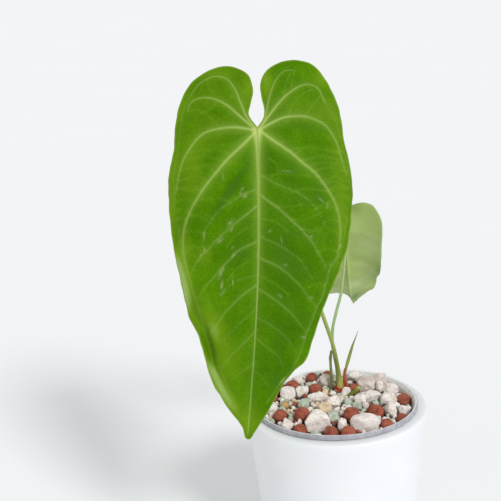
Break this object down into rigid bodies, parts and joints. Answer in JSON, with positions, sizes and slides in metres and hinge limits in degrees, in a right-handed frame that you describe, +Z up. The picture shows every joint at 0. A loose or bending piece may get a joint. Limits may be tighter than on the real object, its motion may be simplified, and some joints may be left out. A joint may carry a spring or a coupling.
{
  "type": "potted anthurium",
  "caption": "Potted young anthurium with a large heart-shaped hanging leaf, a smaller leaf behind it and a rolled new leaf, in mineral gravel in a clear liner inside a tapered white cover pot.",
  "frame": {"origin": "centre of the cover pot's flat base, which is the standing plane", "axes": "+Z up along the pot's axis, -Y the side that the large leaf faces, +X to that viewer's right"},
  "size_m": [0.1857, 0.2437, 0.3908],
  "materials": {
    "cover_pot": "satin white, smooth",
    "liner": "clear, faintly grey, glossy",
    "gravel": "mixed fine mineral gravel, matte",
    "clay": "fired clay, reddish brown, rough",
    "ochre_clay": "fired clay, ochre, rough",
    "pumice": "white pumice, porous",
    "grey_stone": "grey-brown rock, porous",
    "beige_stone": "beige porous stone",
    "zeolite": "mint-green zeolite, chipped",
    "leaf": "living leaf, soft sheen, pale veins",
    "petiole": "living stem, smooth, pale green",
    "old_stub": "old stem, dark green, drying",
    "cataphyll": "papery scale leaf, red-orange",
    "root": "root and short stem, corky"
  },
  "bodies": {
    "root": {"cover_pot": "cover_pot", "liner_pot": "liner", "gravel_bed": "gravel", "clay_ball_01": "clay", "clay_ball_02": "clay", "clay_ball_03": "clay", "clay_ball_04": "clay", "clay_ball_05": "clay", "clay_ball_06": "clay", "clay_ball_07": "clay", "clay_ball_08": "clay", "clay_ball_09": "clay", "clay_ball_10": "clay", "clay_ball_11": "clay", "clay_ball_12": "clay", "clay_ball_13": "clay", "clay_ball_14": "clay", "clay_ball_15": "clay", "clay_ball_16": "clay", "clay_ball_17": "clay", "clay_ball_ochre": "ochre_clay", "pumice_01": "pumice", "pumice_02": "pumice", "pumice_03": "pumice", "pumice_04": "pumice", "pumice_05": "pumice", "pumice_06": "pumice", "pumice_07": "pumice", "pumice_08": "pumice", "pumice_09": "pumice", "pumice_10": "pumice", "pumice_11": "pumice", "pumice_12": "pumice", "pumice_13": "pumice", "pumice_14": "pumice", "pumice_15": "pumice", "pumice_16": "pumice", "pumice_17": "pumice", "pumice_18": "pumice", "pumice_19": "pumice", "pumice_20": "pumice", "grey_stone_01": "grey_stone", "grey_stone_02": "grey_stone", "grey_stone_03": "grey_stone", "beige_stone": "beige_stone", "zeolite_01": "zeolite", "zeolite_02": "zeolite", "zeolite_03": "zeolite", "rootstock": "root", "petiole_big": "petiole", "blade_big": "leaf", "petiole_small": "petiole", "blade_small": "leaf", "new_leaf_spike": "petiole", "cataphyll_sheath": "cataphyll", "cataphyll_collar": "cataphyll", "old_petiole_stub": "old_stub", "cut_petiole_stub": "old_stub"}
  },
  "joints": []
}
